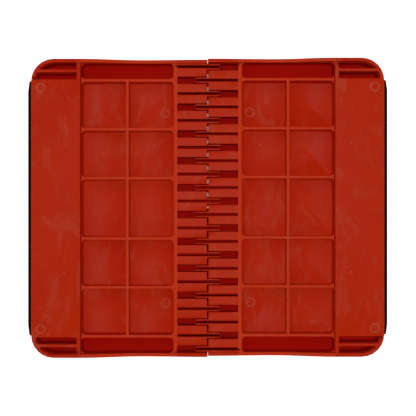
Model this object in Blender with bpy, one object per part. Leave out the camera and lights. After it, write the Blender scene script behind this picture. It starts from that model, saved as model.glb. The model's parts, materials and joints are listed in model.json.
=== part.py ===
"""Folding ribbed crate panel: two identical moulded halves hinged down the middle.

Units are metres, +Z is up. The panel lies open and flat with its smooth face down on its
feet and its ribs up. X runs from end to end, Y along the hinge. The origin is on the floor
under the middle. Every piece of the left half is made once. The right half is the same set
of pieces turned half a turn about Z, so it uses the same meshes.
"""

import math

import bmesh
import bpy
from mathutils import Matrix, Vector

# Overall sizes
HALF_LENGTH = 0.1750  # hinge line to the outside of the end wall
WIDTH = 0.2965  # across the side rims
CORNER_RADIUS = 0.0225
SIDE_STEP = 0.00055  # each half's body sits this far off its own finger comb
RIB_TOP = 0.0250
END_TOP = 0.0350  # flat top of the raised end box
HINGE_CREST = 0.0285  # rim height beside the hinge

# Walls
RIM = 0.0035
SKIN = 0.0025
RIB = 0.0027
END_WALL = 0.0035
DECK = 0.0025
LANE_WALL = 0.0016

# Rib grid
END_BOX = 0.0486  # length of the raised end along X
COMB_LENGTH = 0.0303  # hinge line to the start of the slots
COMB_WALL = 0.0040
MIDDLE_ROW = 0.0604  # between the middle pair of cross ribs
TROUGH = 0.0154  # inside width of the undivided cell along each side rim
CELL_RADIUS = 0.0038
RIM_SADDLE = 0.0660  # where the rim is lowest, from the hinge line

# Corner slots, between the end box and the side rim
CORNER_BAND = 0.02055
CORNER_RIB = 0.0026
CORNER_TIP = 0.0018  # cut off the sharp end of each slot

# Hinge
KNUCKLE_RADIUS = 0.0040
KNUCKLE_WIDTH = 0.0095
KNUCKLE_LIFT = 0.0005  # lowest point of the knuckles above the ground
KNUCKLE_CLEARANCE = 0.0005
KNUCKLE_STEP = 0.0001  # the barrels stand this far inside the knuckles and their ends
SKIN_LIFT = 0.0002  # smooth face above the hinge axis, so that the halves fold flat
PIN_RADIUS = 0.0020
FINGERS = 11
FINGER_WIDTH = 0.0055
FINGER_REACH = 0.0143
FINGER_PLAY = 0.00095  # on each side of a finger in the other half's pocket
SLOT_WIDTH = 0.0028
SLOT_COVER = 0.0007  # left over the knuckle under a slot
DECK_GAP = 0.0015  # between the deck ends of the two halves
NOSE_RADIUS = 0.0042  # rounds the top of a finger at its tip
FINGER_CHIN = 0.0140  # height of the underside of a finger at its tip
KNUCKLE_EXIT = math.radians(50)  # where the underside leaves the knuckle
PLUG_HEAD_RADIUS = 0.0032
PLUG_HEAD = 0.0025
PLUG_STEM = 0.0030
PLUG_CLEARANCE = 0.0005

# End cover and its screws
COVER_SCREW_INSET = 0.0130  # from the side of the end box to the outer screws
BOSS_RADIUS = 0.0040
COVER_SCREW_RADIUS = 0.0014
COVER_SCREW_LENGTH = 0.0130
COVER_HEAD_RADIUS = 0.0033
COVER_HEAD = 0.0012

# End strip, its retainer bar and their screws
STRIP_OVERHANG = 0.00115  # how far the strip runs past the start of the round corner
STRIP_PROUD = 0.0035
STRIP_MARGIN_LOW = 0.0043  # above the smooth face
STRIP_MARGIN_HIGH = 0.0035  # below the top of the end box
STRIP_TAPER = 0.0110
STRIP_PEG_COUNT = 5
STRIP_PEG_INSET = 0.0165  # from the strip's end to the outer pegs
STRIP_CHAMFER = 0.0012
PEG_RADIUS = 0.0025
RETAINER = 0.0020
RETAINER_HEIGHT = 0.0120
STRIP_SCREW_RADIUS = 0.0011
STRIP_HEAD_RADIUS = 0.0036
STRIP_HEAD = 0.0016
STRIP_SCREW_REACH = 0.0008  # how far the screw's tip goes past the end wall

# Feet
FOOT_RADIUS = 0.0075
FOOT_INSET_X = 0.0170
FOOT_INSET_Y = 0.0143
FOOT_PEG_RADIUS = 0.0020
FOOT_PEG_DEPTH = 0.0014  # how far the peg goes into the skin

GAP = 0.0003
OVER = 0.0050  # how far a cutter runs past what it cuts
ROUND_STEPS = 16
HOLE_STEPS = 12  # of small holes, pegs and screw heads
SHANK_STEPS = 8
BARREL_STEPS = 20  # of the knuckle barrels and the room round them
CORNER_STEPS = 3  # of a small corner or slot end
EDGE_STEPS = 6  # of each quarter turn of the outline
WAVE_STEPS = 16  # of the rim's wavy top

# Worked out from the sizes above
AXIS_HEIGHT = KNUCKLE_LIFT + KNUCKLE_RADIUS
SMOOTH_FACE = AXIS_HEIGHT + SKIN_LIFT
FLOOR_TOP = SMOOTH_FACE + SKIN
EDGE_LOW = -WIDTH / 2 - SIDE_STEP
EDGE_HIGH = WIDTH / 2 - SIDE_STEP
MIDDLE = (EDGE_LOW + EDGE_HIGH) / 2
BOX_FACE = HALF_LENGTH - END_BOX
COMB_FACE = COMB_LENGTH + COMB_WALL
RIB_LINE = (BOX_FACE + COMB_FACE) / 2
POCKET_WIDTH = FINGER_WIDTH + 2 * FINGER_PLAY
OUTER_LANE = WIDTH / 2 - RIM - POCKET_WIDTH / 2
PITCH = OUTER_LANE / (FINGERS / 2 - 0.25)
FINGER_LANES = [OUTER_LANE - k * PITCH for k in range(FINGERS)]
POCKET_LANES = [-y for y in FINGER_LANES]
SLOT_FLOOR = AXIS_HEIGHT + KNUCKLE_RADIUS + SLOT_COVER
RELIEF = KNUCKLE_RADIUS + KNUCKLE_CLEARANCE
BORE_RADIUS = PIN_RADIUS + GAP
BOX_INSIDE_LOW = BOX_FACE + END_WALL
BOX_INSIDE_HIGH = HALF_LENGTH - RIM
BOX_HALF_WIDTH = WIDTH / 2 - CORNER_BAND - RIB
OUTER_RIB = WIDTH / 2 - RIM - TROUGH - RIB / 2
CROSS_RIBS = (MIDDLE_ROW / 2, (MIDDLE_ROW / 2 + OUTER_RIB) / 2, OUTER_RIB)
COVER_SCREW_Y = BOX_HALF_WIDTH - COVER_SCREW_INSET
COVER_X = -(BOX_INSIDE_LOW + BOX_INSIDE_HIGH) / 2
STRIP_LOW = SMOOTH_FACE + STRIP_MARGIN_LOW
STRIP_HIGH = END_TOP - STRIP_MARGIN_HIGH
STRIP_MIDDLE = (STRIP_LOW + STRIP_HIGH) / 2
STRIP_HALF = WIDTH / 2 - CORNER_RADIUS + STRIP_OVERHANG
PEG_SPAN = 2 * (STRIP_HALF - STRIP_PEG_INSET)
STRIP_PEGS = [PEG_SPAN * (k / (STRIP_PEG_COUNT - 1) - 0.5) for k in range(STRIP_PEG_COUNT)]


def clear_scene():
    for obj in list(bpy.data.objects):
        bpy.data.objects.remove(obj, do_unlink=True)


def new_collection(name):
    collection = bpy.data.collections.new(name)
    bpy.context.scene.collection.children.link(collection)
    return collection


def material(name, color, roughness, metallic=0.0):
    made = bpy.data.materials.new(name)
    made.use_nodes = True
    shader = made.node_tree.nodes["Principled BSDF"]
    shader.inputs["Base Color"].default_value = (*color, 1.0)
    shader.inputs["Roughness"].default_value = roughness
    shader.inputs["Metallic"].default_value = metallic
    return made


def arc(centre, radius, start, end, steps):
    """Points on a circle from one angle to another, both included."""
    angles = [start + (end - start) * i / steps for i in range(steps + 1)]
    return [(centre[0] + radius * math.cos(a), centre[1] + radius * math.sin(a)) for a in angles]


def rectangle(x_low, x_high, y_low, y_high):
    return [(x_low, y_low), (x_high, y_low), (x_high, y_high), (x_low, y_high)]


def circle(centre, radius, steps=ROUND_STEPS):
    return arc(centre, radius, 0, 2 * math.pi, steps)[:-1]


def rounded_rectangle(x_low, x_high, y_low, y_high, round_low, round_high):
    """A rectangle whose two corners at x_low, or at x_high, are rounded."""
    corners = [
        (x_low, y_low, round_low, 2),
        (x_high, y_low, round_high, 3),
        (x_high, y_high, round_high, 0),
        (x_low, y_high, round_low, 1),
    ]
    points = []
    for x, y, rounded, quarter in corners:
        if not rounded:
            points.append((x, y))
            continue
        inwards_x = CELL_RADIUS if x == x_low else -CELL_RADIUS
        inwards_y = CELL_RADIUS if y == y_low else -CELL_RADIUS
        start = quarter * math.pi / 2
        centre = (x + inwards_x, y + inwards_y)
        points += arc(centre, CELL_RADIUS, start, start + math.pi / 2, CORNER_STEPS)
    return points


def extruded(name, outlines, low, high, turn=None):
    """A mesh object: closed outlines filled and extruded from low to high, then turned."""
    curve = bpy.data.curves.new(name, "CURVE")
    curve.dimensions = "2D"
    curve.fill_mode = "BOTH"
    curve.extrude = (high - low) / 2
    for outline in outlines:
        spline = curve.splines.new("POLY")
        spline.points.add(len(outline) - 1)
        for point, (x, y) in zip(spline.points, outline):
            point.co = (x, y, 0.0, 1.0)
        spline.use_cyclic_u = True
    source = bpy.data.objects.new(name + "_outline", curve)
    bpy.context.scene.collection.objects.link(source)
    graph = bpy.context.evaluated_depsgraph_get()
    mesh = bpy.data.meshes.new_from_object(source.evaluated_get(graph))
    bpy.data.objects.remove(source)
    mesh.transform(Matrix.Translation((0, 0, (low + high) / 2)))
    if turn:
        mesh.transform(turn)
    clean(mesh)
    return link(name, mesh, cutters)


def clean(mesh):
    """Welds the loose caps and turns every face outwards."""
    cleaned = bmesh.new()
    cleaned.from_mesh(mesh)
    bmesh.ops.remove_doubles(cleaned, verts=cleaned.verts, dist=1e-6)
    bmesh.ops.recalc_face_normals(cleaned, faces=cleaned.faces)
    cleaned.to_mesh(mesh)
    cleaned.free()


# A drawing in X and Y stands up as one in X and Z, extruded along -Y.
STAND_UP = Matrix.Rotation(math.pi / 2, 4, "X")
# A cylinder made along Z lies along Y, or along X.
ALONG_Y = Matrix.Rotation(-math.pi / 2, 4, "X")
ALONG_X = Matrix.Rotation(math.pi / 2, 4, "Y")


def link(name, mesh, collection):
    obj = bpy.data.objects.new(name, mesh)
    collection.objects.link(obj)
    return obj


def cylinders(name, stretches, turn=None, steps=ROUND_STEPS):
    """One mesh of cylinders, each given as centre, radius and length, along Z before the turn."""
    made = bmesh.new()
    for centre, radius, length in stretches:
        way = Matrix.Translation(Vector(centre)) @ (turn or Matrix.Identity(4))
        bmesh.ops.create_cone(
            made, cap_ends=True, segments=steps, radius1=radius, radius2=radius, depth=length, matrix=way
        )
    mesh = bpy.data.meshes.new(name)
    made.to_mesh(mesh)
    made.free()
    return link(name, mesh, cutters)


def change(obj, operation, *tools):
    """Adds one Boolean for each tool."""
    for tool in tools:
        modifier = obj.modifiers.new(tool.name, "BOOLEAN")
        modifier.operation = operation
        modifier.object = tool
        modifier.solver = "EXACT"
    return obj


def settled(obj, name):
    """The object's evaluated mesh as a new part, with the tools left among the cutters."""
    graph = bpy.context.evaluated_depsgraph_get()
    mesh = bpy.data.meshes.new_from_object(obj.evaluated_get(graph))
    mesh.name = name
    obj.modifiers.clear()
    return link(name, mesh, parts)


def rim_height(x):
    """Top of the side rim at a distance x from the hinge line."""
    if x >= RIM_SADDLE:
        share = min(1.0, (x - RIM_SADDLE) / (BOX_FACE - RIM_SADDLE))
        return RIB_TOP + (END_TOP - RIB_TOP) * (1 - math.cos(math.pi * share)) / 2
    share = (RIM_SADDLE - x) / RIM_SADDLE
    return RIB_TOP + (HINGE_CREST - RIB_TOP) * (1 - math.cos(math.pi * share)) / 2


def body_outline(length):
    """Outline of the left half out to x = length, with round corners at the end wall."""
    radius = CORNER_RADIUS
    x_centre = -(HALF_LENGTH - CORNER_RADIUS)
    high, low = EDGE_HIGH, EDGE_LOW
    points = [(length, low)]
    points += arc((x_centre, low + radius), radius, 1.5 * math.pi, math.pi, EDGE_STEPS)
    points += arc((x_centre, high - radius), radius, math.pi, 0.5 * math.pi, EDGE_STEPS)
    points += [(length, high)]
    return points


def corner_slot(y_near, y_far, side):
    """A slot whose end follows the inside of the round corner. side is 1 or -1."""
    radius = CORNER_RADIUS - RIM
    x_centre = -(HALF_LENGTH - CORNER_RADIUS)
    turn_from = WIDTH / 2 - CORNER_RADIUS
    points = [(-BOX_INSIDE_LOW, MIDDLE + side * y_near), (-BOX_INSIDE_LOW, MIDDLE + side * y_far)]
    for i in range(EDGE_STEPS):
        y = y_far + (y_near - y_far) * i / (EDGE_STEPS - 1)
        rise = min(radius, max(0.0, y - turn_from))
        points.append((x_centre - math.sqrt(radius**2 - rise**2), MIDDLE + side * y))
    tip_x, tip_y = points.pop()
    return [*points, (tip_x + CORNER_TIP / 4, tip_y + side * CORNER_TIP), (tip_x + CORNER_TIP, tip_y)]


def crown_cutter():
    """Everything above the rim's wavy top edge."""
    wave = [BOX_FACE * i / WAVE_STEPS for i in range(WAVE_STEPS + 1)]
    points = [(-x, rim_height(x)) for x in wave]
    top = END_TOP + OVER
    right = FINGER_REACH + OVER
    points = [(right, rim_height(0)), *points, (-BOX_FACE, top), (right, top)]
    return extruded("crown_cutter", [points], -WIDTH, WIDTH, STAND_UP)


def cell_outlines():
    """Five rows of two cells, and one undivided narrow cell along each side rim."""
    ribs = sorted([-y for y in CROSS_RIBS] + list(CROSS_RIBS))
    columns = [
        (-BOX_FACE, -RIB_LINE - RIB / 2, True, False),
        (-RIB_LINE + RIB / 2, -COMB_FACE, False, True),
    ]
    outlines = []
    for low, high in zip(ribs[:-1], ribs[1:]):
        for x_low, x_high, round_low, round_high in columns:
            y_low, y_high = MIDDLE + low + RIB / 2, MIDDLE + high - RIB / 2
            outlines.append(rounded_rectangle(x_low, x_high, y_low, y_high, round_low, round_high))
    outermost = CROSS_RIBS[-1] + RIB / 2
    for low, high in ((EDGE_LOW + RIM, MIDDLE - outermost), (MIDDLE + outermost, EDGE_HIGH - RIM)):
        outlines.append(rounded_rectangle(-BOX_FACE, -COMB_FACE, low, high, True, True))
    return outlines


def comb_cutter():
    """What lies past the deck ends and the rim ends, running round the tip of every finger."""
    half = FINGER_WIDTH / 2
    right = FINGER_REACH + OVER
    rim_end, deck_end = -GAP / 2, -DECK_GAP / 2
    rim_low, rim_high = EDGE_LOW + RIM, EDGE_HIGH - RIM
    points = [(right, -WIDTH), (rim_end, -WIDTH), (rim_end, rim_low), (deck_end, rim_low)]
    for y in reversed(FINGER_LANES):
        points.append((deck_end, y - half))
        points += arc((FINGER_REACH - half, y), half, -math.pi / 2, math.pi / 2, 2 * CORNER_STEPS)
        points.append((deck_end, y + half))
    points += [(deck_end, rim_high), (rim_end, rim_high), (rim_end, WIDTH), (right, WIDTH)]
    return extruded("comb_cutter", [points], -OVER, END_TOP + OVER)


def belly_cutter():
    """Everything under the smooth face, the round knuckles and the raised finger chins."""
    start = math.pi - math.asin(SKIN_LIFT / KNUCKLE_RADIUS)
    end = 2 * math.pi + KNUCKLE_EXIT
    round_under = arc((0, AXIS_HEIGHT), KNUCKLE_RADIUS, start, end, ROUND_STEPS)
    left, right = -HALF_LENGTH - OVER, FINGER_REACH + OVER
    points = [(left, -OVER), (left, SMOOTH_FACE), *round_under]
    points += [(FINGER_REACH, FINGER_CHIN), (right, FINGER_CHIN), (right, -OVER)]
    return extruded("belly_cutter", [points], -WIDTH, WIDTH, STAND_UP)


def nose_cutter():
    """What lies over the rounded tops of the finger tips."""
    start, right = FINGER_REACH - NOSE_RADIUS, FINGER_REACH + OVER
    low, top = RIB_TOP - NOSE_RADIUS, END_TOP + OVER
    rounding = arc((start, low), NOSE_RADIUS, math.pi / 2, 0, CORNER_STEPS)
    points = [(start, top), *rounding, (right, low), (right, top)]
    return extruded("nose_cutter", [points], -WIDTH, WIDTH, STAND_UP)


def slot_outlines():
    outlines = []
    half = SLOT_WIDTH / 2
    tip = FINGER_REACH - LANE_WALL - half
    for y in FINGER_LANES:
        points = [(-COMB_LENGTH, y + half), (-COMB_LENGTH, y - half)]
        outlines.append(points + arc((tip, y), half, -math.pi / 2, math.pi / 2, CORNER_STEPS))
    return outlines


def knuckle_spans():
    """(low, high) in Y of each knuckle. The outermost one is flush with its finger outside."""
    half = KNUCKLE_WIDTH / 2
    spans = [(y - half, y + half) for y in FINGER_LANES]
    spans[0] = (OUTER_LANE - half, OUTER_LANE + FINGER_WIDTH / 2)
    return spans


def along_axis(name, spans, radius, steps=ROUND_STEPS):
    """Cylinders on the hinge axis, one for each (low, high) in Y."""
    stretches = [((0, (low + high) / 2, AXIS_HEIGHT), radius, high - low) for low, high in spans]
    return cylinders(name, stretches, ALONG_Y, steps)


def barrels():
    """The round of each knuckle on the far side of the axis, where the comb cutter has been."""
    spans = [(low + KNUCKLE_STEP, high - KNUCKLE_STEP) for low, high in knuckle_spans()]
    return along_axis("barrels", spans, KNUCKLE_RADIUS - KNUCKLE_STEP, BARREL_STEPS)


def knuckle_relief():
    """Room round the axis for the other half's knuckles, between the knuckles of this half."""
    spans = knuckle_spans()
    lanes = [(low[1], high[0]) for high, low in zip(spans[:-1], spans[1:])]
    lanes.append((-OUTER_LANE - POCKET_WIDTH / 2, spans[-1][0]))
    return along_axis("relief_cutter", lanes, RELIEF, BARREL_STEPS)


def tunnel_outlines():
    """Hollows under the decks, between a finger's wall and a pocket's wall."""
    outlines = []
    finger, pocket = FINGER_WIDTH / 2, POCKET_WIDTH / 2 + LANE_WALL
    for y in FINGER_LANES:
        outlines.append(rectangle(-COMB_LENGTH, OVER, y - PITCH / 2 + pocket, y - finger))
        if y + PITCH / 2 < OUTER_LANE:
            outlines.append(rectangle(-COMB_LENGTH, OVER, y + finger, y + PITCH / 2 - pocket))
    return outlines


def end_box_cutters():
    """The hollow under the raised end, around its screw bosses, and its open mouth."""
    side_low, side_high = MIDDLE - BOX_HALF_WIDTH, MIDDLE + BOX_HALF_WIDTH
    inside = rectangle(-BOX_INSIDE_HIGH, -BOX_INSIDE_LOW, side_low, side_high)
    bosses = [circle((COVER_X, MIDDLE + y), BOSS_RADIUS, HOLE_STEPS) for y in screw_places()]
    mouth_top = FLOOR_TOP + GAP
    hollow = extruded("end_hollow_cutter", [inside, *bosses], mouth_top, END_TOP - SKIN)
    mouth = extruded("end_mouth_cutter", [inside], -OVER, mouth_top)
    pilots = cover_holes("pilot_cutter", COVER_SCREW_RADIUS + GAP, COVER_SCREW_LENGTH + GAP)
    return hollow, mouth, pilots


def screw_places():
    """Four screws evenly spaced along the middle of the cover, as distances from its middle."""
    return [COVER_SCREW_Y * share / 3 for share in (3, 1, -1, -3)]


def cover_holes(name, radius, depth):
    """Cylinders at the cover's screws, reaching the same way above and below the smooth face."""
    places = [((COVER_X, MIDDLE + y, SMOOTH_FACE), radius, 2 * depth) for y in screw_places()]
    return cylinders(name, places, steps=HOLE_STEPS)


def peg_cutter(name, radius, x_low, x_high):
    """Cylinders along X at the strip's pegs, from x_low to x_high."""
    x = (x_low + x_high) / 2
    places = [((x, MIDDLE + y, STRIP_MIDDLE), radius, x_high - x_low) for y in STRIP_PEGS]
    return cylinders(name, places, ALONG_X, HOLE_STEPS)


def foot_places():
    x = -(HALF_LENGTH - FOOT_INSET_X)
    return [(x, MIDDLE + side * (WIDTH / 2 - FOOT_INSET_Y)) for side in (1, -1)]


def corner_cutter(top):
    """Two slots in each corner, between the end box and the side rim."""
    inner, outer = WIDTH / 2 - CORNER_BAND, WIDTH / 2 - RIM
    split = (inner + outer) / 2
    spans = ((inner, split - CORNER_RIB / 2), (split + CORNER_RIB / 2, outer))
    slots = [corner_slot(*span, side) for span in spans for side in (1, -1)]
    return extruded("corner_cutter", slots, FLOOR_TOP, top)


def rim_relief():
    """Takes the round belly away under both rims, which have no knuckle."""
    finger_side = OUTER_LANE + FINGER_WIDTH / 2
    pocket_side = -OUTER_LANE - POCKET_WIDTH / 2
    rims = [
        rectangle(-RELIEF, OVER, finger_side, WIDTH),
        rectangle(-RELIEF, OVER, -WIDTH, pocket_side),
    ]
    return extruded("rim_relief_cutter", rims, -2 * OVER, SMOOTH_FACE)


def plug_notches():
    """Round notches in both rims, through which the pins and their plugs go in."""
    face = OUTER_LANE + FINGER_WIDTH / 2 + GAP / 2
    radius = PLUG_HEAD_RADIUS + PLUG_CLEARANCE
    return along_axis("plug_notch_cutter", [(face, WIDTH), (-WIDTH, -face)], radius)


def panel_half():
    """The moulding: rim, rib grid, end box, corner slots and its half of the hinge."""
    body = extruded("panel_blank", [body_outline(FINGER_REACH)], -OVER / 2, END_TOP)
    top = END_TOP + OVER
    field = rectangle(-BOX_FACE, FINGER_REACH + OVER, EDGE_LOW + RIM, EDGE_HIGH - RIM)
    pocket_half = POCKET_WIDTH / 2
    pockets = [rectangle(-COMB_LENGTH, OVER, y - pocket_half, y + pocket_half) for y in POCKET_LANES]
    cuts = (
        crown_cutter(),
        extruded("field_cutter", [field], RIB_TOP, top),
        comb_cutter(),
        nose_cutter(),
        belly_cutter(),
        extruded("cell_cutter", cell_outlines(), FLOOR_TOP, top),
        corner_cutter(top),
        extruded("pocket_cutter", pockets, FLOOR_TOP, top),
        extruded("tunnel_cutter", tunnel_outlines(), FLOOR_TOP, RIB_TOP - DECK),
        knuckle_relief(),
        rim_relief(),
    )
    change(body, "DIFFERENCE", *cuts)
    change(body, "UNION", barrels())
    foot_top = SMOOTH_FACE + FOOT_PEG_DEPTH + GAP
    foot_holes = [((x, y, foot_top / 2), FOOT_PEG_RADIUS + GAP, foot_top) for x, y in foot_places()]
    holes = (
        extruded("slot_cutter", slot_outlines(), SLOT_FLOOR, top),
        along_axis("bore_cutter", [(-WIDTH, WIDTH)], BORE_RADIUS),
        plug_notches(),
        *end_box_cutters(),
        peg_cutter("peg_hole_cutter", PEG_RADIUS + GAP, -HALF_LENGTH - OVER, -BOX_INSIDE_HIGH + OVER),
        cylinders("foot_hole_cutter", foot_holes, steps=HOLE_STEPS),
    )
    change(body, "DIFFERENCE", *holes)
    return settled(body, "left_panel_half")


def hinge_pins():
    """Two pins, one driven in from each side, that meet in the middle."""
    end = OUTER_LANE + FINGER_WIDTH / 2 - PLUG_STEM - GAP
    pins = []
    for name, span in (("hinge_pin_rear", (GAP / 2, end)), ("hinge_pin_front", (-end, -GAP / 2))):
        pins.append(settled(along_axis(name + "_blank", [span], PIN_RADIUS), name))
    return pins


def pin_plug():
    """A cap in the outermost knuckle that keeps the pin in."""
    knuckle_end = OUTER_LANE + FINGER_WIDTH / 2
    head_low = knuckle_end + GAP
    head_high = head_low + PLUG_HEAD
    plug = along_axis("plug_stem", [(knuckle_end - PLUG_STEM, (head_low + head_high) / 2)], PIN_RADIUS)
    change(plug, "UNION", along_axis("plug_head", [(head_low, head_high)], PLUG_HEAD_RADIUS))
    return settled(plug, "pin_plug_rear")


def end_cover():
    """A plate flush in the mouth of the end box, with sunk screw holes."""
    outline = rectangle(
        -BOX_INSIDE_HIGH + GAP,
        -BOX_INSIDE_LOW - GAP,
        MIDDLE - BOX_HALF_WIDTH + GAP,
        MIDDLE + BOX_HALF_WIDTH - GAP,
    )
    cover = extruded("cover_blank", [outline], SMOOTH_FACE, FLOOR_TOP)
    holes = cover_holes("cover_hole_cutter", COVER_SCREW_RADIUS + GAP, 2 * SKIN)
    sinks = cover_holes("cover_sink_cutter", COVER_HEAD_RADIUS + GAP, COVER_HEAD + GAP)
    change(cover, "DIFFERENCE", holes, sinks)
    return settled(cover, "left_end_cover")


def screw(name, radius, length, head_radius, head):
    """A screw pointing up from the origin, which is on the face of its head."""
    shank = [((0, 0, (head / 2 + length) / 2), radius, length - head / 2)]
    made = cylinders(name + "_shank", shank, steps=SHANK_STEPS)
    cap = cylinders(name + "_head", [((0, 0, head / 2), head_radius, head)], steps=HOLE_STEPS)
    change(made, "UNION", cap)
    return settled(made, name)


def placed_copies(first, places):
    """The first piece and its copies, each at its own place, numbered from 1."""
    name = first.name
    first.name = name + "_1"
    copies = [first] + [link(f"{name}_{k}", first.data, parts) for k in range(2, len(places) + 1)]
    for copy, place in zip(copies, places):
        copy.location = place
    return copies


def cover_screws():
    first = screw(
        "left_cover_screw", COVER_SCREW_RADIUS, COVER_SCREW_LENGTH, COVER_HEAD_RADIUS, COVER_HEAD
    )
    return placed_copies(first, [(COVER_X, MIDDLE + y, SMOOTH_FACE) for y in screw_places()])


def end_strip():
    """The soft strip along the end wall, with pegs that pass through the wall."""
    face = -HALF_LENGTH - GAP
    outer = -HALF_LENGTH - STRIP_PROUD
    low, high = MIDDLE - STRIP_HALF, MIDDLE + STRIP_HALF
    outline = [
        (face, low),
        (face, high),
        (outer + STRIP_CHAMFER, high - STRIP_CHAMFER),
        (outer, high - STRIP_TAPER),
        (outer, low + STRIP_TAPER),
        (outer + STRIP_CHAMFER, low + STRIP_CHAMFER),
    ]
    strip = extruded("strip_blank", [outline], STRIP_LOW, STRIP_HIGH)
    peg_end = -BOX_INSIDE_HIGH + RETAINER + 2 * GAP
    pegs = peg_cutter("strip_pegs", PEG_RADIUS, face - GAP, peg_end)
    change(strip, "UNION", pegs)
    screw_tip = -HALF_LENGTH - STRIP_SCREW_REACH - GAP
    bores = peg_cutter("strip_bore_cutter", STRIP_SCREW_RADIUS + GAP, screw_tip, peg_end + OVER)
    change(strip, "DIFFERENCE", bores)
    return settled(strip, "left_end_strip")


def strip_retainer():
    """A flat bar inside the end box that the strip's pegs pass through."""
    x_low = -BOX_INSIDE_HIGH + GAP
    x_high = x_low + RETAINER
    half = max(STRIP_PEGS) + 2 * STRIP_HEAD_RADIUS
    outline = rectangle(x_low, x_high, MIDDLE - half, MIDDLE + half)
    low, high = STRIP_MIDDLE - RETAINER_HEIGHT / 2, STRIP_MIDDLE + RETAINER_HEIGHT / 2
    bar = extruded("retainer_blank", [outline], low, high)
    holes = peg_cutter("retainer_hole_cutter", PEG_RADIUS + GAP, x_low - OVER, x_high + OVER)
    change(bar, "DIFFERENCE", holes)
    return settled(bar, "left_strip_retainer")


def strip_screws():
    """Screws from inside the end box into the pegs."""
    head_face = -BOX_INSIDE_HIGH + RETAINER + 3 * GAP + STRIP_HEAD
    length = head_face + HALF_LENGTH + STRIP_SCREW_REACH
    first = screw("left_strip_screw", STRIP_SCREW_RADIUS, length, STRIP_HEAD_RADIUS, STRIP_HEAD)
    first.data.transform(Matrix.Rotation(-math.pi / 2, 4, "Y"))
    return placed_copies(first, [(head_face, MIDDLE + y, STRIP_MIDDLE) for y in STRIP_PEGS])


def foot(name, place):
    """A round pad with a peg in the skin."""
    x, y = place
    pad_top = SMOOTH_FACE - GAP
    peg_low, peg_high = pad_top / 2, SMOOTH_FACE + FOOT_PEG_DEPTH
    pad = cylinders(name + "_pad", [((x, y, pad_top / 2), FOOT_RADIUS, pad_top)], steps=2 * HOLE_STEPS)
    peg = [((x, y, (peg_low + peg_high) / 2), FOOT_PEG_RADIUS, peg_high - peg_low)]
    change(pad, "UNION", cylinders(name + "_peg", peg, steps=HOLE_STEPS))
    return settled(pad, name)


def turned_copy(source, name, axis_parent):
    """The same mesh, half a turn about Z, carried by the fold axis."""
    copy = link(name, source.data, parts)
    turn = Matrix.Rotation(math.pi, 4, "Z")
    copy.parent = axis_parent
    copy.matrix_parent_inverse = Matrix.Translation(-axis_parent.location)
    copy.matrix_basis = turn @ source.matrix_basis
    return copy


def finish(obj, surface):
    if not obj.data.materials:
        obj.data.materials.append(surface)
    obj.data.shade_smooth()
    obj.data.set_sharp_from_angle(angle=math.radians(30))


clear_scene()
parts = new_collection("folding_crate_panel")
cutters = new_collection("cutters")

red = material("red_plastic", (0.42, 0.030, 0.008), 0.42)
black = material("black_rubber", (0.006, 0.006, 0.007), 0.6)
steel = material("steel", (0.75, 0.75, 0.77), 0.22, 1.0)
dark_steel = material("blackened_steel", (0.03, 0.03, 0.033), 0.4, 1.0)

fold_axis = bpy.data.objects.new("fold_axis", None)
fold_axis.location = (0, 0, AXIS_HEIGHT)
parts.objects.link(fold_axis)

left_pieces = [
    (panel_half(), red),
    (end_cover(), red),
    (end_strip(), black),
    (strip_retainer(), steel),
    *[(piece, steel) for piece in cover_screws() + strip_screws()],
]
for piece, surface in left_pieces:
    finish(piece, surface)
    turned_copy(piece, piece.name.replace("left", "right"), fold_axis)

# Half a turn swaps front and rear as well as left and right.
corner_pieces = [(pin_plug(), "pin_plug_front", black)]
corner_names = (("left_foot_rear", "right_foot_front"), ("left_foot_front", "right_foot_rear"))
for place, (left_name, right_name) in zip(foot_places(), corner_names):
    corner_pieces.append((foot(left_name, place), right_name, black))
for piece, turned_name, surface in corner_pieces:
    finish(piece, surface)
    turned_copy(piece, turned_name, fold_axis)

for piece, surface in zip(hinge_pins(), (steel, dark_steel)):
    finish(piece, surface)

for cutter in cutters.objects:
    cutter.hide_render = True
    cutter.display_type = "WIRE"
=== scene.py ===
"""Looks of the folding crate panel: rounded moulded edges, mould marks, scuffed red plastic."""

import json
import math

import bmesh
import bpy
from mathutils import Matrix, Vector


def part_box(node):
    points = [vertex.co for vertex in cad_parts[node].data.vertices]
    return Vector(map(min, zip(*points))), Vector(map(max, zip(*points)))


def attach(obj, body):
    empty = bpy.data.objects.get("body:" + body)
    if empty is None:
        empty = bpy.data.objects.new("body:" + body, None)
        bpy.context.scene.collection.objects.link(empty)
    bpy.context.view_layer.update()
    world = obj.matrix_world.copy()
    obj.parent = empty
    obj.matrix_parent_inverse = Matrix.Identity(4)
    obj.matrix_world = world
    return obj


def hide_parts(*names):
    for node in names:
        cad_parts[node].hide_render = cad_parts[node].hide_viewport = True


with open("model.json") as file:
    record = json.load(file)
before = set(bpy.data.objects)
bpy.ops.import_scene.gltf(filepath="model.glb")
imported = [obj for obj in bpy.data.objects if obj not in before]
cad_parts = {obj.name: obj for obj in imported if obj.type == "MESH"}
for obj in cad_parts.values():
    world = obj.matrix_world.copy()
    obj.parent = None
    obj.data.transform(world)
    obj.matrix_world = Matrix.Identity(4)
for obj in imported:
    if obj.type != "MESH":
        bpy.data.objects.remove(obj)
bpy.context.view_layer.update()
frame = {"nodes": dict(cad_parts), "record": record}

# Places read from the frame
LEFT = "left"
RIGHT = "right"
HALF_LOW, HALF_HIGH = (Vector(corner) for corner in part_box("left_panel_half"))
COVER_LOW, COVER_HIGH = (Vector(corner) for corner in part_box("left_end_cover"))
END_TOP = HALF_HIGH.z
FLOOR_TOP = COVER_HIGH.z
MIDDLE = (COVER_LOW.y + COVER_HIGH.y) / 2

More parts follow.
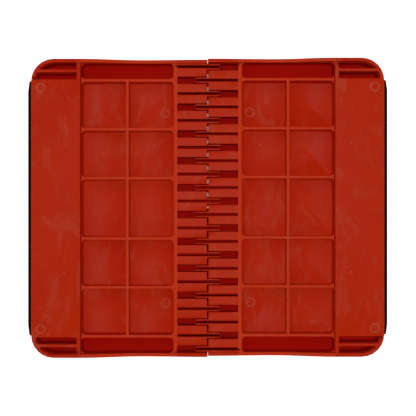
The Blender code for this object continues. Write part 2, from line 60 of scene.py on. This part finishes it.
# Ribs and hinge of the mouldings
RIB_TOP = 0.0250
COMB_LENGTH = 0.0303  # from the hinge line to the comb's wall
COMB_FACE = 0.0343  # from the hinge line to the first cell
BOX_FACE = 0.1264  # from the hinge line to the raised end
OUTER_RIB = 0.1280  # from the middle to the rib beside the trough
CORNER_RADIUS = 0.0225
UNDERSIDE = 0.0055  # everything below this height shows from below

# Rounded edges of the softened pieces
PANEL_EDGE = 0.00035
COVER_EDGE = 0.00025
STRIP_EDGE = 0.0004
FOOT_EDGE = 0.0005
SHARP_ANGLE = math.radians(38)
WELD = 2e-6

# Mould marks, which stand a little proud of their faces. The raised ends are
# lower by MARK_ROOM, so that the marks on them stay inside the frame's box.
MARK_HEIGHT = 0.0001
MARK_ROOM = 0.00011
EJECTOR_INNER = 0.0034
EJECTOR_OUTER = 0.0049
GATE_RADIUS = 0.0012
EJECTOR_INSET = 0.0095  # from the end of the half
END_EJECTOR_ROW = 0.1195  # from the middle
CELL_EJECTOR_ROW = 0.0965
GATE_ROW = 0.0640
END_GATE_OFFSET = 0.0085  # from the middle of the raised end, towards the hinge

# The camera looks straight down on the ribs
CAMERA_DISTANCE = 1.0
VIEW_WIDTH = 0.416
SENSOR_WIDTH = 36.0
CAMERA_OFFSET = (0.0003, -0.0002)

FLOOR_HEIGHT = -0.045  # under the folded half, which swings below the open panel
FLOOR_REACH = 12.0


# ---------------------------------------------------------------- materials


class Nodes:
    """Short names for the node calls of one material."""

    def __init__(self, name):
        self.material = bpy.data.materials.new(name)
        self.material.use_nodes = True
        self.tree = self.material.node_tree
        self.shader = self.tree.nodes["Principled BSDF"]
        self.place = self.add("ShaderNodeTexCoord").outputs["Object"]

    def add(self, kind, **settings):
        node = self.tree.nodes.new(kind)
        for key, value in settings.items():
            setattr(node, key, value)
        return node

    def link(self, source, target):
        self.tree.links.new(source, target)

    def colour(self, source):
        self.link(source, self.shader.inputs["Base Color"])

    def roughness(self, source):
        self.link(source, self.shader.inputs["Roughness"])

    def constant(self, name, value):
        self.shader.inputs[name].default_value = value

    def stretched(self, scale):
        mapping = self.add("ShaderNodeMapping")
        mapping.inputs["Scale"].default_value = scale
        self.link(self.place, mapping.inputs["Vector"])
        return mapping.outputs["Vector"]

    def noise(self, scale, detail=3.0, roughness=0.55, distortion=0.0, stretch=None):
        node = self.add("ShaderNodeTexNoise")
        node.inputs["Scale"].default_value = scale
        node.inputs["Detail"].default_value = detail
        node.inputs["Roughness"].default_value = roughness
        node.inputs["Distortion"].default_value = distortion
        self.link(self.stretched(stretch) if stretch else self.place, node.inputs["Vector"])
        return node.outputs["Fac"]

    def ramp(self, source, low, high, start=0.0, end=1.0):
        """source mapped from low..high to start..end, and held there."""
        node = self.add("ShaderNodeMapRange", interpolation_type="SMOOTHSTEP")
        node.inputs["From Min"].default_value = low
        node.inputs["From Max"].default_value = high
        node.inputs["To Min"].default_value = start
        node.inputs["To Max"].default_value = end
        self.link(source, node.inputs["Value"])
        return node.outputs["Result"]

    def mixed(self, factor, first, second):
        """Two colours mixed. Each is a colour or an output."""
        node = self.add("ShaderNodeMix", data_type="RGBA")
        self.link(factor, node.inputs[0])
        for socket, value in ((node.inputs[6], first), (node.inputs[7], second)):
            if isinstance(value, tuple):
                socket.default_value = (*value, 1.0)
            else:
                self.link(value, socket)
        return node.outputs[2]

    def math(self, operation, first, second=0.0):
        """One step of arithmetic. Each value is a number or an output."""
        node = self.add("ShaderNodeMath", operation=operation)
        for socket, value in ((node.inputs[0], first), (node.inputs[1], second)):
            if isinstance(value, float):
                socket.default_value = value
            else:
                self.link(value, socket)
        return node.outputs[0]

    def coordinate(self, axis):
        split = self.add("ShaderNodeSeparateXYZ")
        self.link(self.place, split.inputs["Vector"])
        return split.outputs[axis]

    def from_middle(self, axis):
        return self.math("ABSOLUTE", self.coordinate(axis))

    def above(self, low, high):
        """0 under the height low, 1 over high."""
        return self.ramp(self.coordinate("Z"), low, high)

    def rib_tops(self):
        """1 over the tops of the ribs, walls and rims, 0 over the comb and the ends: where the lighter
        painted highlight goes.
        """
        along = self.from_middle("X")
        past_comb = self.ramp(along, COMB_LENGTH, COMB_LENGTH + 0.0005)
        before_end = self.ramp(along, BOX_FACE - 0.0005, BOX_FACE, 1.0, 0.0)
        high = self.above(RIB_TOP - 0.002, RIB_TOP)
        return self.math("MULTIPLY", self.math("MULTIPLY", past_comb, high), before_end)

    def in_cells(self):
        """1 over the square cells and the ends, 0 over the hinge comb and the side troughs."""
        past_comb = self.ramp(self.from_middle("X"), COMB_FACE - 0.001, COMB_FACE + 0.004)
        inside_troughs = self.ramp(self.from_middle("Y"), OUTER_RIB - 0.002, OUTER_RIB, 1.0, 0.0)
        return self.math("MULTIPLY", past_comb, inside_troughs)

    def outside(self):
        """1 over the outer walls and the underside, 0 within the walls."""
        squares = []
        for axis, size in (("X", -HALF_LOW.x), ("Y", (HALF_HIGH.y - HALF_LOW.y) / 2)):
            past_straight = self.math("SUBTRACT", self.from_middle(axis), size - CORNER_RADIUS)
            squares.append(self.math("POWER", self.math("MAXIMUM", past_straight, 0.0), 2.0))
        radius = self.math("SQRT", self.math("ADD", *squares))
        walls = self.ramp(radius, CORNER_RADIUS - 0.0020, CORNER_RADIUS - 0.0014)
        underside = self.ramp(self.coordinate("Z"), UNDERSIDE, UNDERSIDE + 0.0007, 1.0, 0.0)
        return self.math("MAXIMUM", walls, underside)

    def bumped(self, height, strength, distance):
        bump = self.add("ShaderNodeBump")
        bump.inputs["Strength"].default_value = strength
        bump.inputs["Distance"].default_value = distance
        self.link(height, bump.inputs["Height"])
        self.link(bump.outputs["Normal"], self.shader.inputs["Normal"])


def moulded_red():
    """Orange-red plastic: a darker, deeper red painted into its hollows as shade; paler on its open
    faces, partly dust and partly painted light; a lighter painted highlight on the rib tops; scuffs on
    the open faces.
    """
    n = Nodes("moulded_red_plastic")
    # Painted shade: this darker, deeper red fills the hollows, the hinge comb and the side troughs below
    # the rib tops.
    hollow_shade_red = (0.54, 0.006, 0.0006)
    # The open faces' red: paler partly from dust and partly as painted light.
    lit_dusty_red = (0.66, 0.027, 0.0015)
    bloom = (0.64, 0.068, 0.030)
    # Painted highlight: a lighter, more orange red on the tops of the ribs, walls and rims.
    rib_top_highlight = (0.76, 0.044, 0.007)

    # Open faces: rib tops, cells, ends, outer walls and underside. Elsewhere the hollows keep the painted
    # shade red.
    open_faces = n.math("MAXIMUM", n.above(RIB_TOP - 0.0015, RIB_TOP), n.in_cells())
    open_faces = n.math("MAXIMUM", open_faces, n.outside())
    cloud = n.noise(14.0, detail=4.0, distortion=0.8)
    # Mix from the painted shade of the hollows to the paler, lit and dusty red of the open faces, with
    # cloudy dust patches.
    paleness = n.math("MULTIPLY", open_faces, n.ramp(cloud, 0.25, 0.6, 0.75, 1.0))
    plastic = n.mixed(n.rib_tops(), n.mixed(paleness, hollow_shade_red, lit_dusty_red), rib_top_highlight)

    haze_noise = n.noise(38.0, detail=6.0, roughness=0.62, distortion=1.6, stretch=(1.0, 0.45, 1.0))
    streak_noise = n.noise(11.0, detail=8.0, roughness=0.7, distortion=2.2, stretch=(2.6, 0.9, 1.0))
    scratch_noise = n.noise(70.0, detail=2.0, distortion=3.0, stretch=(0.25, 3.5, 1.0))
    haze = n.ramp(haze_noise, 0.50, 0.72)
    streak = n.ramp(streak_noise, 0.54, 0.68)
    scratch = n.ramp(scratch_noise, 0.68, 0.76)
    rubbed = n.math("MULTIPLY", n.math("MAXIMUM", haze, streak), 0.72)
    marks = n.math("MAXIMUM", rubbed, n.math("MULTIPLY", scratch, 0.45))
    n.colour(n.mixed(n.math("MULTIPLY", marks, open_faces), plastic, bloom))

    gloss = n.ramp(n.math("ADD", cloud, haze), 0.3, 1.5, 0.36, 0.52)
    in_hollows = n.math("ADD", gloss, 0.35)
    n.roughness(n.math("SUBTRACT", in_hollows, n.math("MULTIPLY", open_faces, 0.35)))
    n.constant("Specular IOR Level", 0.04)
    grain = n.noise(2600.0, detail=2.0)
    flow = n.noise(120.0, detail=3.0, distortion=1.0)
    n.bumped(n.math("ADD", n.math("MULTIPLY", grain, 0.35), flow), 0.20, 0.00012)
    return n.material


def chalky_red():
    """The dull, paler red of ejector and gate marks."""
    n = Nodes("chalky_red_plastic")
    paleness = n.ramp(n.noise(700.0, detail=4.0), 0.35, 0.65)
    n.colour(n.mixed(paleness, (0.60, 0.060, 0.030), (0.66, 0.110, 0.070)))
    n.roughness(n.ramp(paleness, 0.0, 1.0, 0.6, 0.8))
    n.constant("Specular IOR Level", 0.04)
    n.bumped(n.noise(1600.0, detail=3.0), 0.3, 0.00006)
    return n.material


def black_rubber():
    """Matt black rubber with a fine grain and greyish handling marks."""
    n = Nodes("black_rubber")
    wear = n.ramp(n.noise(60.0, detail=5.0), 0.55, 0.75)
    n.colour(n.mixed(wear, (0.0012, 0.0012, 0.0013), (0.004, 0.004, 0.0045)))
    n.roughness(n.ramp(wear, 0.0, 1.0, 0.62, 0.78))
    n.constant("Specular IOR Level", 0.05)
    n.bumped(n.noise(1800.0, detail=3.0), 0.35, 0.00010)
    return n.material


def drawn_steel(name, colour, roughness):
    """Steel with fine drawing lines along Y."""
    n = Nodes(name)
    lines = n.noise(420.0, detail=3.0, stretch=(6.0, 0.05, 6.0))
    darker = tuple(channel * 0.72 for channel in colour)
    n.colour(n.mixed(n.ramp(lines, 0.4, 0.7), colour, darker))
    n.roughness(n.ramp(lines, 0.3, 0.8, roughness * 0.8, roughness * 1.4))
    n.constant("Metallic", 1.0)
    n.bumped(lines, 0.15, 0.00005)
    return n.material


def painted_white_pin():
    """Dull whitish surface with small dark specks, for the rear pin: painted light, standing for the
    brightness seen through the rear half of the hinge gaps.
    """
    n = Nodes("rear_pin_brightness")
    colour = (0.96, 0.97, 0.98)
    specks = n.ramp(n.noise(900.0, detail=4.0), 0.60, 0.72)
    darker = tuple(channel * 0.6 for channel in colour)
    n.colour(n.mixed(specks, colour, darker))
    n.roughness(n.ramp(specks, 0.0, 1.0, 0.38, 0.6))
    n.constant("Metallic", 0.15)
    n.bumped(n.noise(1500.0, detail=3.0), 0.2, 0.00004)
    return n.material


# ---------------------------------------------------------------- pieces


def linked(name, mesh, surface, body):
    obj = bpy.data.objects.new(name, mesh)
    bpy.context.scene.collection.objects.link(obj)
    obj.data.materials.clear()
    obj.data.materials.append(surface)
    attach(obj, body)
    return obj


def new_mesh(name, made):
    """A mesh of what made holds, which is freed."""
    mesh = bpy.data.meshes.new(name)
    made.to_mesh(mesh)
    made.free()
    return mesh


def welded_copy(node):
    """The node's mesh with its split corners welded and its flat triangles joined in pairs."""
    made = bmesh.new()
    made.from_mesh(frame["nodes"][node].data)
    bmesh.ops.remove_doubles(made, verts=made.verts, dist=WELD)
    for vertex in made.verts:
        if vertex.co.z > END_TOP - WELD:
            vertex.co.z -= MARK_ROOM
    bmesh.ops.join_triangles(
        made, faces=made.faces, angle_face_threshold=math.radians(0.5), angle_shape_threshold=math.pi
    )
    return new_mesh(node + "_soft", made)


def softened(node, name, surface, body, width, segments=2):
    """A copy of a CAD node with rounded edges, standing for the node."""
    piece = linked(name, welded_copy(node), surface, body)
    bevel = piece.modifiers.new("edges", "BEVEL")
    bevel.width = width
    bevel.segments = segments
    bevel.limit_method = "ANGLE"
    bevel.angle_limit = SHARP_ANGLE
    bevel.use_clamp_overlap = False
    piece.data.shade_smooth()
    piece.data.set_sharp_from_angle(angle=SHARP_ANGLE)
    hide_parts(node)
    return piece


def circle(made, centre, radius, lift, steps):
    x, y, z = centre
    turns = [2 * math.pi * k / steps for k in range(steps)]
    return [made.verts.new((x + radius * math.cos(t), y + radius * math.sin(t), z + lift)) for t in turns]


def joined_rings(made, first, second):
    """Faces between two circles of points, around the whole circle."""
    steps = len(first)
    for k in range(steps):
        following = (k + 1) % steps
        made.faces.new((first[k], second[k], second[following], first[following]))


def finished_marks(made, name, surface, body):
    bmesh.ops.recalc_face_normals(made, faces=made.faces)
    mesh = new_mesh(name, made)
    mesh.shade_smooth()
    mesh.set_sharp_from_angle(angle=math.radians(40))
    return linked(name, mesh, surface, body)


def raised_rings(name, places, surface, body, steps=28):
    """Flat rings standing proud of a face, around places on it."""
    made = bmesh.new()
    for place in places:
        rings = [
            circle(made, place, EJECTOR_INNER, 0.0, steps),
            circle(made, place, EJECTOR_INNER + MARK_HEIGHT, MARK_HEIGHT, steps),
            circle(made, place, EJECTOR_OUTER - MARK_HEIGHT, MARK_HEIGHT, steps),
            circle(made, place, EJECTOR_OUTER, 0.0, steps),
        ]
        for first, second in zip(rings, rings[1:] + rings[:1]):
            joined_rings(made, first, second)
    return finished_marks(made, name, surface, body)


def raised_spots(name, places, surface, body, steps=16):
    """Round pads standing proud of a face, at places on it."""
    made = bmesh.new()
    for x, y, z in places:
        top = made.verts.new((x, y, z + MARK_HEIGHT))
        rim = circle(made, (x, y, z), GATE_RADIUS - MARK_HEIGHT, MARK_HEIGHT, steps)
        foot = circle(made, (x, y, z), GATE_RADIUS, 0.0, steps)
        for k in range(steps):
            made.faces.new((top, rim[k], rim[(k + 1) % steps]))
        joined_rings(made, rim, foot)
        made.faces.new(list(reversed(foot)))
    return finished_marks(made, name, surface, body)


def kept(place):
    return place


def turned(place):
    """The same place on the other half, which is this half turned half a turn about Z."""
    return (-place[0], -place[1], place[2])


def mould_marks(chalk):
    """Ejector rings and gate spots on each half."""
    end_middle = (COVER_LOW.x + COVER_HIGH.x) / 2
    end_top = END_TOP - MARK_ROOM
    ejectors = [
        (HALF_LOW.x + EJECTOR_INSET, MIDDLE + END_EJECTOR_ROW, end_top),
        (HALF_LOW.x + EJECTOR_INSET, MIDDLE - END_EJECTOR_ROW, end_top),
        (-COMB_FACE - 0.0094, MIDDLE + CELL_EJECTOR_ROW, FLOOR_TOP),
        (-COMB_FACE - 0.0084, MIDDLE - CELL_EJECTOR_ROW, FLOOR_TOP),
    ]
    gates = [
        (end_middle + END_GATE_OFFSET, MIDDLE + GATE_ROW, end_top),
        (end_middle + END_GATE_OFFSET, MIDDLE - GATE_ROW, end_top),
        (-COMB_FACE - 0.0202, MIDDLE + GATE_ROW, FLOOR_TOP),
        (-COMB_FACE - 0.0192, MIDDLE - GATE_ROW, FLOOR_TOP),
    ]
    for body, move in ((LEFT, kept), (RIGHT, turned)):
        raised_rings(f"{body}_ejector_marks", [move(place) for place in ejectors], chalk, body)
        raised_spots(f"{body}_gate_spots", [move(place) for place in gates], chalk, body)


def world_light():
    world = bpy.data.worlds.new("studio")
    bpy.context.scene.world = world
    world.use_nodes = True
    background = world.node_tree.nodes["Background"]
    background.inputs["Color"].default_value = (1.0, 1.0, 1.0, 1.0)
    background.inputs["Strength"].default_value = 0.22


def pale_floor():
    made = bmesh.new()
    bmesh.ops.create_grid(made, x_segments=1, y_segments=1, size=FLOOR_REACH)
    floor = bpy.data.objects.new("floor", new_mesh("floor", made))
    bpy.context.scene.collection.objects.link(floor)
    paint = bpy.data.materials.new("pale_floor")
    paint.use_nodes = True
    inputs = paint.node_tree.nodes["Principled BSDF"].inputs
    inputs["Base Color"].default_value = (0.92, 0.92, 0.92, 1.0)
    inputs["Roughness"].default_value = 0.9
    inputs["Emission Color"].default_value = (1.0, 1.0, 1.0, 1.0)
    inputs["Emission Strength"].default_value = 0.9
    floor.data.materials.append(paint)
    floor.location.z = FLOOR_HEIGHT


def lamps():
    """Round soft lamps, each with its place, size and power, aimed at the origin."""
    rows = (
        ("overhead", (0.0, 0.05, 2.3), 0.36, 15.0),
        ("key", (-0.6, 0.9, 1.6), 1.2, 2.5),
        ("fill", (0.8, -0.7, 1.5), 1.4, 1.5),
    )
    for name, place, size, power in rows:
        light = bpy.data.lights.new(name, "AREA")
        light.shape = "DISK"
        light.size = size
        light.energy = power
        lamp = bpy.data.objects.new(name, light)
        lamp.location = place
        lamp.rotation_euler = (-Vector(place)).to_track_quat("-Z", "Y").to_euler()
        bpy.context.scene.collection.objects.link(lamp)


def camera():
    data = bpy.data.cameras.new("camera")
    data.sensor_width = SENSOR_WIDTH
    data.lens = SENSOR_WIDTH * CAMERA_DISTANCE / VIEW_WIDTH
    data.clip_start = 0.05
    made = bpy.data.objects.new("camera", data)
    made.location = (*CAMERA_OFFSET, RIB_TOP + CAMERA_DISTANCE)
    bpy.context.scene.collection.objects.link(made)
    bpy.context.scene.camera = made
    bpy.context.scene.view_settings.view_transform = "Standard"


def main():
    camera()
    world_light()
    pale_floor()
    lamps()
    red = moulded_red()
    black = black_rubber()
    steel = drawn_steel("bright_steel", (0.82, 0.82, 0.84), 0.16)
    # Near-black steel; on the front hinge pin this black is painted shade, standing for the dark seen
    # through the front half of the hinge gaps.
    dark_steel = drawn_steel("blackened_steel", (0.004, 0.004, 0.0045), 0.5)
    rear_pin_white = painted_white_pin()
    looks = {"red_plastic": red, "black_rubber": black, "steel": steel, "blackened_steel": dark_steel}

    for body in (LEFT, RIGHT):
        softened(f"{body}_panel_half", f"{body}_moulding", red, body, PANEL_EDGE)
        softened(f"{body}_end_cover", f"{body}_cover_plate", red, body, COVER_EDGE)
        softened(f"{body}_end_strip", f"{body}_black_strip", black, body, STRIP_EDGE, 3)
        for end in ("front", "rear"):
            softened(f"{body}_foot_{end}", f"{body}_pad_{end}", black, body, FOOT_EDGE, 3)
    mould_marks(chalky_red())

    slots = {row["node"]: row["material_slot"] for row in frame["record"]["subparts"]}
    for name, node in frame["nodes"].items():
        if not node.hide_render:
            node.data.materials.clear()
            node.data.materials.append(rear_pin_white if name == "hinge_pin_rear" else looks[slots[name]])


main()
